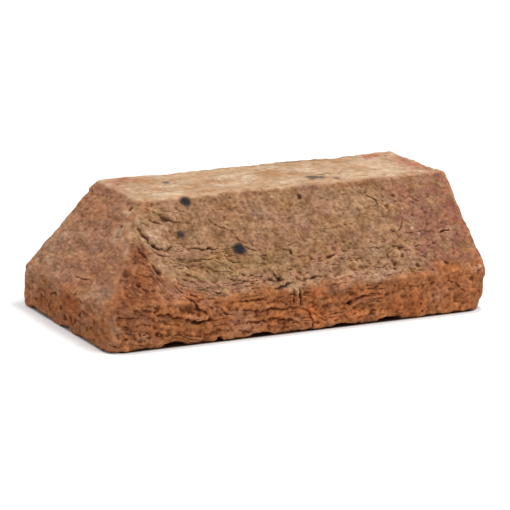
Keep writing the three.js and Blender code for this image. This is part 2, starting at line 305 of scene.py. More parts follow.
FRONT_CREASES = [  # depth, half-width, path: place by place
    # below and round the flake
    (0.8, 0.4,  28, 52.5,  30.5, 50,  33, 47.5), (1.1, 0.5,  46.5, 39.7,  50, 38,  54, 35.5,  56, 34.3),
    (0.8, 0.45,  42.5, 34.5,  44.5, 31,  46, 29.5), (1.1, 0.5,  49, 28.5,  51, 27,  51.7, 26),
    (1.2, 0.5,  45, 28,  47, 25.5,  49.5, 23.5,  51, 20.5,  54, 18.5,  56, 18,  58, 14.5,  59.5, 12.7),
    (0.5, 0.4,  50, 41,  54, 42,  58, 43),
    # the lower left corner
    (1.2, 0.5,  16, 24.5,  19, 24.2,  21.5, 23.5,  24, 21.5,  26, 20.3,  28, 21),
    (2.2, 0.75,  26.5, 20,  28, 18.2,  31, 18.5,  35.5, 18.3,  37.5, 16.5,  42, 15.5,  46, 14.5),
    (2.4, 0.8,  46, 14.5,  48.5, 12.8,  52, 11.7,  55, 12.3,  58, 13.2,  60, 12.3),
    (0.8, 0.45,  24, 35.5,  27, 34,  30, 32.5), (0.7, 0.45,  5, 19.5,  10, 18.8,  16, 18.2),
    (0.7, 0.45,  19, 15,  23, 14,  28, 12.5), (0.6, 0.45,  13, 43.5,  15.5, 41.7,  18, 41.7,  20, 43),
    (0.5, 0.4,  4, 11,  8, 10.5,  11, 8),
    # the upper left
    (0.5, 0.4,  46, 86,  48, 88.5,  49, 86.5), (0.5, 0.4,  61, 83.5,  62.5, 81,  64, 81),
    # level with the big iron spot, and down to the band
    (0.8, 0.45,  66, 52.2,  68.5, 51.5,  70.5, 53.2,  73.5, 52.3,  77, 53.5,  81, 53.8,  84, 52,  86.5, 50),
    (0.9, 0.5,  88.3, 61.5,  88.8, 58.5,  91, 57.3,  93, 56),
    (1, 0.5,  91.5, 54.5,  93.5, 52.3,  96, 51.2,  99, 51.5), (0.6, 0.4,  69.5, 47,  72, 46.2,  75, 45.7),
    (0.9, 0.45,  77, 49.7,  78.3, 47.2,  80.5, 46,  84, 45.2), (0.8, 0.45,  63.5, 42,  65, 39.3,  66.3, 37.7),
    (0.9, 0.45,  65, 44,  67, 41.7,  70, 40.2), (1, 0.5,  81.3, 38,  83.5, 37.2,  86, 35.8,  90.5, 35.3),
    (0.8, 0.45,  65.5, 34,  68, 33.3,  70, 33.6,  73, 32.2,  76, 31.2),
    (1, 0.5,  57.3, 30.7,  59, 29.2,  61, 29.5), (1.1, 0.5,  63, 29.3,  65, 27.8,  68, 27.2),
    (0.8, 0.45,  56, 24.5,  59.5, 24.5,  62, 23.6,  65, 23), (0.8, 0.45,  57, 20.7,  60, 19.9,  64, 19.5),
    (1.2, 0.6,  65, 19,  67, 16.5,  69, 14.8,  72, 14.3),
    (1.9, 0.7,  74.5, 17,  77, 16.2,  80, 16,  84, 15.2,  88, 14.8,  93, 15,  97, 14.9,  103, 14),
    (1.6, 0.6,  76, 21.2,  79, 20.4,  83, 21,  86, 20.4,  90, 20.7,  91.5, 22),
    (2.1, 0.75,  83, 9.3,  86, 8.5,  88.5, 9,  90, 10,  92, 8.7,  96, 9.2,  100, 9,  104, 8,  110, 6.3),
    (0.6, 0.4,  75, 5.5,  79, 4.5,  83, 3.3), (1.2, 0.55,  96.5, 32.7,  99, 32,  101.5, 31),
    (2.2, 0.85,  101, 35.5,  102.5, 33,  103.5, 30.7),
    (1.5, 0.6,  98, 25.8,  101, 26.4,  105, 27,  107, 28.4,  110, 28.8),
    (0.6, 0.4,  103.5, 46,  107, 45.3,  113, 45.8),
    (0.6, 0.4,  90.5, 49.5,  94, 48.4,  96.5, 48,  100.5, 48.5,  104, 48.3,  105.5, 49.7),
    # shrinkage cracks that run up the band
    (1.7, 0.5,  108.5, 24.5,  108.8, 21,  108.4, 18,  108.7, 15.5),
    (1.6, 0.5,  112, 24,  112.5, 19,  112.2, 16.5,  113, 14.5),
    (1.5, 0.55,  104, 14.3,  108, 14.5,  111, 14.2,  113.5, 14.3,  116, 12.5,  118.5, 10.5,  119.5, 8),
    (1.3, 0.5,  119.5, 8,  120.5, 5,  120, 2), (0.9, 0.45,  119, 11.5,  122, 8.8,  125, 6.3,  128, 5),
    (0.6, 0.4,  117, 13,  121, 13.3), (0.7, 0.45,  104.5, 12.3,  107.5, 12),
    # right of the middle
    (1, 0.5,  111, 50.6,  113.5, 50,  116, 49.2,  116.5, 47),
    (0.8, 0.45,  130, 25,  134, 25,  138, 25,  141, 24.7,  143.5, 23.5),
    (1, 0.7,  135.3, 42.7,  137.5, 42,  139.3, 43,  141.7, 43.3), (0.7, 0.45,  146, 46.2,  149, 45.2),
    (0.8, 0.5,  152.3, 49.3,  155, 48.6),
    (2.6, 0.95,  141.7, 13.2,  143.7, 14,  146, 15,  149, 15.7,  152, 16.2),
    (0.9, 0.45,  152.5, 16.6,  155.5, 17.6,  159, 17.2), (1, 0.5,  147.5, 12.2,  150.5, 12.4,  153.5, 11),
    (0.8, 0.45,  133.5, 8.3,  136, 7.9,  139, 8.5), (0.8, 0.45,  146.5, 21.8,  146, 19,  146.3, 17),
    (0.7, 0.45,  151.5, 33,  154, 33.8,  157, 33), (1, 0.5,  160, 31.7,  164, 32,  167, 32.5,  170, 33.3),
    (1, 0.45,  160, 45,  165, 44.8,  169, 44.4,  171, 43,  173.5, 42),
    # the right third
    (1.2, 0.5,  175.7, 79.8,  178, 77.5,  179.6, 75.7,  179.2, 73),
    (1, 0.5,  188.5, 79.7,  191.3, 78.6,  193, 76),
    (0.8, 0.45,  180, 55,  182, 54,  185.5, 54.3,  188, 57,  189.3, 60,  190.5, 63),
    (0.5, 0.4,  172.5, 50.3,  175.5, 49.5), (1.1, 0.5,  176.3, 46.7,  178.5, 45,  180.5, 43.4,  184, 43.1),
    (0.8, 0.45,  185, 41.7,  186.2, 39.7),
    (0.6, 0.45,  186.5, 45,  189.5, 45.6,  190.5, 42.5,  194, 43.5,  199, 43.8),
    (0.6, 0.45,  186, 52.6,  192, 52,  198, 52.5,  204, 51.3),
    (1.2, 0.6,  208.7, 50.3,  212, 51.2,  216.5, 51.3), (0.9, 0.5,  204.5, 23.2,  209, 23),
    (0.8, 0.45,  207.5, 18,  210.5, 15,  213.7, 12.5), (0.6, 0.45,  203.5, 19.7,  207, 17.3),
    (0.7, 0.45,  200, 77,  203, 74,  207.5, 70.5), (0.7, 0.45,  219, 10.5,  222, 8),
]
FRONT_PITS = [  # place, radius, depth
    (22.3, 37.5, 1.5, 1.8), (18.5, 45.8, 2.8, 1.7), (36, 44, 1.8, 1), (28.2, 8, 1.6, 1.3),
    (31, 7, 1.3, 1), (21.5, 8.5, 1.2, 0.8), (58.5, 13, 1.4, 1.2), (84, 37.5, 1.3, 0.9),
    (116.2, 48, 1.4, 1.2), (161, 23, 2, 0.8), (156.8, 6, 2.3, 1.2), (184.5, 71.3, 1.3, 1),
    (175, 82, 0.9, 0.7), (174.5, 87, 1.8, 0.5), (172.5, 39.2, 1.4, 1.2), (180.5, 38, 1.6, 1.3),
    (174, 34, 1.9, 1.6), (173, 30.5, 1.5, 1.2), (187.4, 31, 1.4, 1.3), (203, 44, 1.3, 0.7),
    (193.5, 18, 1.3, 0.8), (222.5, 22, 1.4, 0.9), (50.5, 78, 2.8, 1.4), (191, 78, 1.8, 0.7),
    (137, 34.5, 1.3, 0.5), (169, 33, 1.6, 0.6), (103, 32, 1.4, 1.2), (197.5, 63.5, 1.5, 0.6),
    (202, 76, 1.1, 0.6), (205, 30, 1.2, 0.9), (218, 18.5, 1.6, 0.8), (162, 52.5, 2.2, 0.3),
    (143.2, 13.3, 1.8, 2.6), (145.6, 14.5, 1.5, 2), (135, 83.6, 1.5, 1.6), (126, 42.5, 1.8, 0.9),
    (131, 41.5, 1.6, 0.9), (137.5, 42.5, 1.8, 1.3),
]
FRONT_LUMPS = [  # place, radius, how far it stands proud
    (57, 79, 4, 0.9), (46.5, 83.5, 3.2, 0.7), (44.5, 76.5, 2.6, 0.5), (25, 24.3, 2, 0.9),
    (50, 46, 4, 0.6), (58, 52.5, 3.5, 0.5), (70, 43, 4.5, 0.5), (106, 21, 4, 0.7), (25.5, 41, 1.6, 0.6),
]
FRONT_IRON = [  # place, radius, strength
    (67.6, 87.7, 3.6, 1), (57.3, 67.1, 2.8, 0.9), (87, 53.2, 4.2, 1), (135, 84, 1.5, 0.4),
    (75.5, 87.5, 1.5, 0.35), (121.8, 69.5, 1.2, 0.35), (110, 88, 2.2, 0.2),
]
FRONT_GRAINS = [  # place, radius
    (118.7, 85, 0.9), (193, 54.5, 1.1), (192, 68, 0.8), (223.5, 25, 1.2), (208, 36, 1),
]
END_CREASES = [  # depth, half-width, path
    (2, 0.7,  56.5, 31.4,  60, 31.6,  64, 32.6,  69.5, 33.4), (0.5, 0.45,  74, 35,  78, 35.2,  81.5, 34.5),
    (0.8, 0.6,  66.5, 22,  70, 23.5,  75, 24), (0.9, 0.6,  34, 14.5,  38, 16,  43, 17.5),
    (0.6, 0.45,  79, 10.5,  84, 13), (0.6, 0.45,  86, 8.5,  91, 11.5),
]
END_PITS = [  # place, radius, depth
    (55, 78, 1.7, 1.2), (60.5, 67, 1.1, 0.7), (54, 6, 2.2, 1.6), (61.5, 7.7, 1.8, 1.3), (67.5, 7.5, 1.4, 1),
    (16, 67, 1.3, 0.5), (49, 10.5, 1.6, 1.2), (43, 17, 1.5, 0.9), (73, 12.5, 1.8, 1.1), (83, 7, 1.4, 1),
    (91, 13, 1.5, 0.9), (31, 7, 1.3, 0.9), (22, 11, 1.4, 0.8),
]
TOP_IRON = [  # place, radius, strength
    (153, 65, 4.6, 0.8), (157.5, 63, 3, 0.75), (161, 69.5, 2.2, 0.6), (165.5, 71.5, 2.2, 0.5),
    (165, 59, 2, 0.65), (64, 86, 2.6, 0.4), (73.5, 85.5, 2.2, 0.7), (99.5, 81.5, 2.4, 0.35),
    (99, 79, 1, 0.4), (66, 71, 1.2, 0.25),
]
FLAKE = {"middle": (43.2, 68.2), "half_axes": (11, 6), "lean": -51, "proud": 1.7}
FOOT_SHADE, FOOT_SHADE_HEIGHT = 0.6, 2.4  # painted shade along the foot, where the rounded underside is in shadow: how dark it is, and how far up


def flake(skin, face, middle, half_axes, lean, proud):
    """A thick leaf of clay, smeared on to the face: half_axes along and across it, lean from level."""
    a, b = face.coordinates(0.3 * skin.wandering + 0.7 * skin.points)
    cos, sin = math.cos(math.radians(lean)), math.sin(math.radians(lean))
    lengthways = ((a - middle[0]) * cos + (b - middle[1]) * sin) / half_axes[0]
    crossways = ((b - middle[1]) * cos - (a - middle[0]) * sin) / half_axes[1]
    far = np.hypot(lengthways, np.where(crossways > 0, 0.55 * crossways, crossways))
    skin.height += proud * skin.share[face] * fade(1.1, np.where(crossways > 0, 0.1, 0.7), far)


def painted_foot_shade(skin):
    """Painted shade: darkens the last of the clay above the table, where its rounded underside is in shadow.
    """
    z = skin.points[:, 2] + 0.8 * gradient_noise(skin.points / 3, 920)
    skin.mark("crease", slice(None), FOOT_SHADE * fade(FOOT_SHADE_HEIGHT, 0.4, z))


def hand_marks(skin):
    flake(skin, FRONT, **FLAKE)
    for row in FRONT_LUMPS:
        lump(skin, FRONT, *row)
    for depth, width, rise, reach, *path in FRONT_FLAPS:
        crease(skin, FRONT, depth, width, *path, lip=rise / depth, lip_reach=reach / width)
    for depth, width, *path in FRONT_CREASES:
        crease(skin, FRONT, DEEPER * depth, WIDER * width, *path)
    for row in END_CREASES:
        crease(skin, END, *row)
    for *row, depth in FRONT_PITS:
        pit(skin, FRONT, *row, depth, dark=0.1 + 0.25 * depth)
    for row in END_PITS:
        pit(skin, END, *row)
    for row in FRONT_IRON:
        iron_spot(skin, FRONT, *row)
    for row in TOP_IRON:
        iron_spot(skin, TOP, *row, proud=0.1)
    for row in FRONT_GRAINS:
        pale_grain(skin, FRONT, *row)


# ---------- the run of the clay
# The clay was dragged along the front. Near the hip on the left its folds turn up, as it was pushed into
# the corner of the mould: lines of equal run(x, v) are the lines that the folds follow.
TURN_X = 31.0  # where the folds stand upright
TURN_RISE = 33.0  # how far they have risen there
TURN_REACH = 11.0  # how soon they level out to the right
CORNER_SLOPE = 0.4  # how the folds fall to the right in the corner left of the turn
BAND_SLOPE = 0.25  # how the folds of the band fall to the right at its left end
BAND_SLOPE_ENDS = 60.0  # and how far along the front they do


def run(x, v):
    right = TURN_RISE * np.exp(-np.maximum(x - TURN_X, 0) / TURN_REACH)
    return v - right - CORNER_SLOPE * np.maximum(TURN_X - x, 0)


def run_slope(x):
    if x < TURN_X:
        return -CORNER_SLOPE
    return -TURN_RISE / TURN_REACH * math.exp(-(x - TURN_X) / TURN_REACH)


STRIDE = 1.8  # from knot to knot of a scattered crease
LEAN, LEAN_DRIFT, LEAN_KEPT = 0.22, 0.25, 0.8  # in radians at its start, gained and kept at each knot
SCATTERED_CREASES = [  # face, number, where along and up it, lengths, depths, whether they follow the run
    (FRONT, 40, (44, 205), (24, 50), (4, 12), (0.3, 0.9), True),
    (FRONT, 14, (50, 215), (45, 88), (2, 6), (0.15, 0.45), True),
    (FRONT, 16, (5, 175), (3, 24), (5, 14), (0.4, 0.9), False),
    (END, 8, (5, 105), (2, 40), (3, 8), (0.15, 0.4), False),
    (BACK, 36, (4, 180), (3, 62), (4, 14), (0.2, 0.6), False),
    (PLAIN_END, 16, (6, 104), (3, 60), (3, 9), (0.2, 0.5), False),
]
SCATTERED_PITS = [  # face, number, where along and up it, radii, depth in radii
    (FRONT, 14, (140, 224), (24, 88), (0.5, 1.3), 0.5),
    (FRONT, 10, (40, 140), (24, 88), (0.5, 1.1), 0.5),
    (FRONT, 30, (3, 225), (1, 22), (0.5, 1.3), 0.7),
    (END, 16, (4, 106), (2, 84), (0.45, 1.0), 0.4),
    (TOP, 16, (50, 224), (56, 106), (0.4, 0.9), 0.4),
    (BACK, 36, (3, 180), (2, 64), (0.5, 1.2), 0.5),
    (PLAIN_END, 24, (3, 107), (2, 60), (0.5, 1.2), 0.5),
]


def random_creases(skin, face, rng, count, a_span, b_span, lengths, depths, follow_run):
    for _ in range(count):
        a, b = rng.uniform(*a_span), rng.uniform(*b_span)
        length = rng.uniform(*lengths)
        depth = rng.uniform(*depths)
        lean = rng.normal(0, LEAN)
        path = [(a, b)]
        for _ in range(max(2, round(length / STRIDE))):
            lean += rng.normal(0, LEAN_DRIFT)
            lean *= LEAN_KEPT
            angle = lean + (math.atan(run_slope(a)) if follow_run else 0)
            a += STRIDE * math.cos(angle)
            b += STRIDE * math.sin(angle)
            path.append((a, b))
        crease(skin, face, depth, rng.uniform(0.32, 0.42), *path, dark=0.6)


def random_pits(skin, face, rng, count, a_span, b_span, radii, depth_share):
    for _ in range(count):
        radius = radii[0] * (radii[1] / radii[0]) ** rng.uniform(0, 1) ** 2
        a, b = rng.uniform(*a_span), rng.uniform(*b_span)
        pit(skin, face, a, b, radius, depth_share * radius, dark=rng.uniform(0.05, 0.4))


def scattered_marks(skin):
    rng = np.random.default_rng(7)
    for face, *settings in SCATTERED_CREASES:
        random_creases(skin, face, rng, *settings)
    for face, *settings in SCATTERED_PITS:
        random_pits(skin, face, rng, *settings)


# ---------- wear of the whole form
FOOT_LEFT, FOOT_RIGHT = FRONT.place([(0, 0), (LENGTH, 0)])
KNEE_LEFT, KNEE_RIGHT = FRONT.place([(0, BAND_HEIGHT), (LENGTH, BAND_HEIGHT)])
KNEE_BACK, NIB = END.place([(0, BAND_HEIGHT), (3, 79)])  # the nib is by the back, just below the top
TOP_FRONT_LEFT, TOP_FRONT_RIGHT = TOP.place([(END_SPLAY_RUN, FRONT_SPLAY_RUN), (LENGTH, FRONT_SPLAY_RUN)])
TOP_BACK_LEFT = TOP.place([(END_SPLAY_RUN, WIDTH)])[0]
OUTSET = 0.45  # the skin stands this far outside the flat faces, which lie in its hollows
SWELL, SWELL_SIZE = 0.3, 40
ARRIS_REACH = 3.0
ARRIS_WEAR, ARRIS_CHIPS, CHIP_SIZE = 0.2, 0.8, 11  # what is off all along it, and here and there
WORN = [  # from, to, how far round that line the skin moves, and where to
    (FOOT_RIGHT, KNEE_RIGHT, 13, (-0.5, 0.6, 0)),
    (FOOT_RIGHT, FOOT_RIGHT + 2 * Z, 9, (-2.4, 1.6, 0.5)),
    (KNEE_RIGHT, TOP_FRONT_RIGHT, 9, (0.9, -0.3, 0)),
    (FOOT_LEFT, KNEE_LEFT, 9, (1.2, 1.2, 0)),
    (KNEE_LEFT, TOP_FRONT_LEFT, 6, (0.4, 0.5, -0.3)),
    (TOP_BACK_LEFT, TOP_BACK_LEFT + 3 * X, 13, (0.3, -0.6, 0.2)),
    (KNEE_BACK, KNEE_BACK - 12 * Z, 12, (-0.9, 0, 0.3)),
    (NIB, NIB + 2 * Y, 4, (-1.4, 1.2, -0.2)),
]

# The lower edges lift off the table a little, and more along these stretches: from, to, rise.
GAP, GAP_WANDER = 0.25, 0.3
GAP_REACH = 15.0  # how far in under the brick
LIFT_HEIGHT = 8.0  # how far up the side the clay moves with its edge
FRONT_GAPS = [(31, 46, 0.6), (63, 66.5, 1.2), (83, 97, 0.5), (130, 150, 0.2), (160, 175, 0.5)]
END_GAPS = [(8, 32, 0.8), (50, 58, 0.9), (74, 84, 0.6)]


def from_line(points, start, end):
    line = end - start
    along = np.clip((points - start) @ line / (line @ line), 0, 1)
    return np.linalg.norm(points - start - np.outer(along, line), axis=1)


def rub(skin, start, end, reach, push):
    """Moves the skin near a line by the vector push, fading to nothing at reach from it."""
    skin.shift += np.outer(fade(reach, 0, from_line(skin.points, start, end)), push)


def stretches(a, spans, blur):
    return sum(size * fade(start - blur, start + blur, a) * fade(end + blur, end - blur, a)
               for start, end, size in spans)


def lift_edge(skin, face, gaps):
    a = skin.on[face][0]
    wander = GAP_WANDER * gradient_noise(plane(a / 7, 0 * a), 77)
    rise = GAP + wander + stretches(a, gaps, 1.5)
    inward = fade(GAP_REACH, 0.5 * GAP_REACH, face.depth(skin.points))
    skin.shift[:, 2] += rise * inward * fade(LIFT_HEIGHT, 0, skin.points[:, 2])


def whole_form(skin):
    """Bends, swells and wears the flat-faced block into the shape of a hand-made brick."""
    skin.height += OUTSET + SWELL * fractal(skin.points, SWELL_SIZE, 1, octaves=2)
    arris = np.exp(-((skin.from_arris / ARRIS_REACH) ** 2))
    chips = ARRIS_CHIPS * fractal(skin.points, CHIP_SIZE, 5)
    skin.height -= arris * np.maximum(ARRIS_WEAR + chips, 0)
    for start, end, reach, push in WORN:
        rub(skin, start, end, reach, push)
    lift_edge(skin, FRONT, FRONT_GAPS)
    lift_edge(skin, END, END_GAPS)


# ---------- relief
LUMP_SIZE, CRUMB_SIZE, GRIT_SIZE = 9, 4.2, 2.2
LUMPS, CRUMBS, GRIT = 0.5, 0.34, 0.13  # how high they stand on the splay of the front
LEDGE_SHAPE = (13, 4.5, 9)  # along the run, across it, and into the clay
LEDGES, LEDGE_OVERHANG = 0.9, 0.8
FOLD_SHAPE = (26, 4.5, 9)
FOLD_GROUP_SHAPE = (15, 6, 9)  # the stretches where the folds show
FOLD_SHARPNESS = 0.09
FOLD_LIP, FOLD_LIP_REACH = 0.8, 3.5
OTHER_FOLDS = [  # face, shape, how strong they are
    (BACK, (26, 5, 9), 0.3), (PLAIN_END, (12, 5, 9), 0.25), (END, (14, 5, 9), 0.12),
]
TOP_LINES, TOP_LINE_SHAPE = 0.2, (26, 6, 9)


def folds(points, shape, seed):
    """Broken folds: grooves where a stretched noise passes through nothing, with a lip on one side."""
    value = fractal(points, shape, seed, gain=0.55) / FOLD_SHARPNESS
    presence = fade(-0.15, 0.45, fractal(points, FOLD_GROUP_SHAPE, seed + 50, octaves=2))
    groove = np.exp(-(value**2))
    lip = np.where(value > 0, np.exp(-((value / FOLD_LIP_REACH) ** 2)), 0)
    return presence * (FOLD_LIP * lip * (1 - groove) - groove), presence * groove


def relief(skin):
    """The unevenness of the clay's skin, from lumps down to its grit."""
    points = skin.points
    share = skin.share
    front, end, top = share[FRONT], share[END], share[TOP]
    plain = share[BACK] + share[PLAIN_END]
    front_a, front_b = skin.on[FRONT]
    end_band = fade(26, 18, points[:, 2]) * end
    band = fade(30, 20, front_b) * front + end_band
    right = fade(150, 190, front_a) * front
    corner = fade(45, 25, front_a) * fade(62, 40, front_b) * front
    lumps = drawn(fractal, skin, LUMP_SIZE, 11, octaves=2, gain=0.6)
    calmer = 0.15 * plain + 0.25 * top + 0.1 * end
    skin.height += lumps * (LUMPS + 0.2 * band * (1 - right) - calmer)
    crumbs = drawn(fractal, skin, CRUMB_SIZE, 15, octaves=1)
    low_front = front * fade(55, 40, front_b)
    rougher = 0.12 * low_front + 0.06 * band * (1 - 0.5 * right) + 0.25 * corner
    rougher += 0.08 * end + 0.12 * end_band
    skin.height += crumbs * (CRUMBS + rougher - 0.1 * plain - 0.1 * top)
    grit = drawn(fractal, skin, GRIT_SIZE, 21, octaves=1)
    rougher = 0.02 * front + 0.05 * band + 0.06 * end
    skin.height += grit * (GRIT + rougher - 0.03 * plain - 0.06 * top)

    # ledges and folds along the run of the clay, on the splay and on the band
    on_band = fade(33, 22, front_b)
    fall = BAND_SLOPE * np.minimum(front_a, BAND_SLOPE_ENDS)
    planes = [plane(front_a, front_b + fall, 90), plane(front_a, run(front_a, front_b))]

    def on_front(texture):
        band_texture, splay_texture = (np.array(texture(place)) for place in planes)
        return on_band * band_texture + (1 - on_band) * splay_texture

    low = fade(62, 40, run(front_a, front_b))
    calm = 1 - 0.6 * right - 0.5 * fade(60, 35, front_a) * (1 - on_band)
    strength = front * (0.15 + 0.5 * low - 0.1 * band) * calm
    ledges = LEDGES * strength * on_front(lambda place: fractal(place, LEDGE_SHAPE, 33, octaves=2))
    skin.height += ledges
    skin.shift -= np.outer(LEDGE_OVERHANG * np.maximum(ledges, 0), FRONT.splay_up)
    height, groove = on_front(lambda place: folds(place, FOLD_SHAPE, 31))
    near_flake = fade(32, 42, front_a) * fade(125, 90, front_a)
    folded = strength + 0.4 * front * low * near_flake * (1 - on_band)
    skin.height += folded * height
    # painted shade in the grooves of the folds
    skin.mark("crease", slice(None), np.clip(0.4 * folded * groove, 0, 1))
    for face, shape, amount in OTHER_FOLDS:
        a, b = skin.on[face]
        height, groove = folds(plane(a, b, 40), shape, 37)
        skin.height += amount * share[face] * height
        # painted shade in the grooves of these folds
        skin.mark("crease", slice(None), np.clip(0.3 * amount * share[face] * groove, 0, 1))

    # the top was struck off level with a bat, which left fine lines along it
    lines = fractal(plane(*skin.on[TOP]), TOP_LINE_SHAPE, 61, octaves=2)
    skin.height += TOP_LINES * top * lines


# ---------- colours of the firing
STAINS = [  # face, clay, then each stain: its middle along and up it, half-widths, strength
    (END, "pale", (57, 76, 8, 7, 0.8), (63, 67, 7, 7, 0.75), (70, 60, 6, 5, 0.4), (8, 40, 14, 20, 0.6),
     (8, 15, 14, 8, 0.35), (28, 28, 12, 6, 0.4), (28, 48, 14, 12, 0.35), (85, 27, 16, 8, 0.4)),
    (FRONT, "pale", (33, 80, 4, 9, 0.7), (42, 67, 7, 9, 1), (43, 45, 8, 5, 0.6), (120, 27.5, 14, 4, 0.5),
     (142, 28, 10, 4, 0.4), (161, 27.5, 12, 4, 0.55), (170, 44, 20, 7, 0.35), (4, 12, 4, 7, 0.4),
     (160, 76, 14, 7, 0.3), (14, 55, 5, 12, 0.35)),
    (FRONT, "russet", (28, 58, 7, 13, 1), (13, 29, 14, 6, 0.9), (8, 17, 13, 8, 0.6), (20, 42, 14, 13, 0.9),
     (140, 16, 14, 8, 0.4)),
    (END, "russet", (58, 10, 24, 9, 0.45)),
    (FRONT, "plum", (206, 54, 20, 24, 1), (220, 66, 10, 32, 1), (196, 76, 12, 8, 0.45)),
    (TOP, "cream", (190, 63, 24, 9, 0.8), (205, 72, 12, 12, 0.9), (202, 88, 20, 12, 0.6),
     (46, 72, 4, 16, 0.5)),
    (TOP, "tan", (146, 78, 9, 6, 0.9), (62, 73, 10, 5, 0.6), (215, 104, 12, 7, 0.8)),
    (FRONT, "umber", (20, 46, 14, 18, 0.8), (12, 17, 15, 13, 0.9), (200, 84, 14, 7, 0.5),
     (212, 33, 18, 8, 0.55), (130, 45, 24, 7, 0.4), (86, 52, 24, 8, 0.4), (165, 89.5, 80, 2.2, 0.8)),
    (TOP, "umber", (130, 110, 100, 3, 0.7), (175, 107, 40, 4, 0.7)),
    (END, "umber", (0, 50, 2.5, 45, 0.7)),
    (FRONT, "ginger", (205, 13, 28, 14, 0.6), (118, 6, 60, 5, 0.5)),
    (TOP, "red", (212, 54, 16, 2.5, 0.6), (180, 52, 30, 1.5, 0.5)),
    (FRONT, "orange", (122, 8, 9, 8, 0.8), (146, 6, 7, 4, 0.6), (102, 12, 9, 3, 0.5), (178, 8, 12, 5, 0.5)),
    (END, "orange", (8, 12, 10, 9, 0.5), (62, 14, 14, 6, 0.6)),
    (FRONT, "olive", (88, 46, 36, 10, 0.55), (50, 46, 12, 7, 0.45), (36, 58, 5, 10, 0.5),
     (112, 29, 12, 3, 0.5), (92, 57, 5, 4, 0.6)),
    (END, "olive", (30, 19, 14, 5, 0.35)),
    (FRONT, "pink", (226, 55, 3, 36, 0.6), (194, 82, 5, 3, 0.35)),
    (TOP, "pink", (50, 100, 8, 14, 0.65), (44, 80, 3, 30, 0.6), (215, 103, 14, 7, 1), (222, 72, 9, 26, 0.8)),
    (END, "pink", (14, 84, 14, 5, 0.6)),
    (FRONT, "mauve", (10, 66, 8, 14, 0.7), (46, 33, 14, 4, 0.7), (155, 29, 22, 4, 0.7), (76, 31, 34, 4, 0.5),
     (38, 33, 9, 8, 0.6), (134, 22, 9, 4, 0.6)),
    (END, "mauve", (44, 52, 18, 12, 0.7), (40, 32, 26, 7, 0.6)),
]
FLAMES = [  # bright specks on the front: place, radius, strength
    (25, 24, 2.4, 1), (25.5, 41, 1.5, 0.7), (23, 7.5, 1.7, 0.6), (26.5, 11, 1.3, 0.6), (101, 12, 1.6, 0.4),
]
HIP_PALE, HIP_REACH = 0.6, 3.5  # the line of the hip is painted paler, to so far on either side
HIP_PALE_FROM = (36, 56)  # it gives out between these heights
STAIN_RAGGED = 0.7  # how much noise breaks up the edge of a stain
STAIN_EDGE, FLAME_EDGE = (1.3, 0.3), (1.3, 0.5)  # between these a stain fades in, 1 being its half-width
RED_TO, RED_RISE_RIGHT = 25, 12  # how far up the front it is red, and how much farther at the right end


def colour_masks(skin):
    """Where each colour of the firing shows, from 0 to 1."""
    points = skin.points
    share = skin.share
    front_a, front_b = skin.on[FRONT]
    blotch = fractal(points, 16, 71, octaves=4, gain=0.55)
    red_to = RED_TO + RED_RISE_RIGHT * fade(175, 215, front_a)
    red_front = fade(4, -4, run(front_a, front_b) - red_to + 5 * blotch)
    red_end = fade(29, 14, points[:, 2] + 7 * blotch)
    brown = fade(0.1, 0.7, fractal(points, 13, 73, octaves=3, gain=0.6))
    rosy = fade(0.0, 0.7, fractal(points, (24, 18, 12), 74, octaves=3, gain=0.6))
    plain = share[BACK] + share[PLAIN_END] + share[BED]
    streaks = fractal(plane(*skin.on[TOP]), (25, 12, 9), 75, octaves=4, gain=0.6)
    on_top = fade(0.35, 0.6, share[TOP] + 0.12 * blotch)
    red = share[FRONT] * red_front + share[END] * red_end
    masks = {
        "red": red + plain * (0.45 + 0.4 * fade(-0.3, 0.6, blotch)),
        "top": on_top,
        "tan": on_top * fade(0.15, 0.7, streaks),
        "cream": on_top * fade(-0.15, -0.7, streaks),
        "end": share[END],
        "umber": 0.4 * brown * red,
        "mauve": 0.4 * rosy * (share[FRONT] + share[END]) * (1 - on_top),
    }
    from_hip = from_line(points, KNEE_LEFT, TOP_FRONT_LEFT)
    pale_hip = np.exp(-((from_hip / HIP_REACH) ** 2)) * fade(-0.6, 0.5, blotch)
    masks["pale"] = HIP_PALE * pale_hip * fade(*HIP_PALE_FROM, points[:, 2])
    ragged = STAIN_RAGGED * fractal(points, 7, 81, octaves=4, gain=0.6)
    for face, name, *stains in STAINS:
        a, b = skin.on[face]
        for a0, b0, a_reach, b_reach, strength in stains:
            far = np.hypot((a - a0) / a_reach, (b - b0) / b_reach)
            spot = strength * share[face] * fade(*STAIN_EDGE, far + ragged)
            masks[name] = np.maximum(masks.get(name, 0), spot)
    for a0, b0, radius, strength in FLAMES:
        far = np.hypot(front_a - a0, front_b - b0) / radius
        spot = strength * share[FRONT] * fade(*FLAME_EDGE, far + 0.3 * ragged)
        masks["flame"] = np.maximum(masks.get("flame", 0), spot)
    return masks


# ---------- meshes
FINE_ROUNDS, FINE_DEPTH = 8, 0.1  # how widely the skin is smoothed to find its hollows, and a deep one
BROAD_ROUNDS, BROAD_DEPTH = 60, 0.45
DETAIL_GROUP = "detail"  # weights that keep more triangles on the front, the top and the splayed end
DETAIL_FACTOR = 1e-5
HIDDEN_WEIGHT, SEEN_WEIGHT = 1.0, 0.5


def object_from(name, mesh):
    made = bpy.data.objects.new(name, mesh)
    bpy.context.scene.collection.objects.link(made)
    return made


def apply_modifier(piece, kind, **settings):
    modifier = piece.modifiers.new(kind, kind)
    for key, value in settings.items():
        setattr(modifier, key, value)
    with bpy.context.temp_override(object=piece, active_object=piece, selected_objects=[piece]):
        bpy.ops.object.modifier_apply(modifier=modifier.name)


def read(data, name, width=3, kind=float):
    values = np.empty(len(data) * width, kind)
    data.foreach_get(name, values)
    return values.reshape(-1, width)


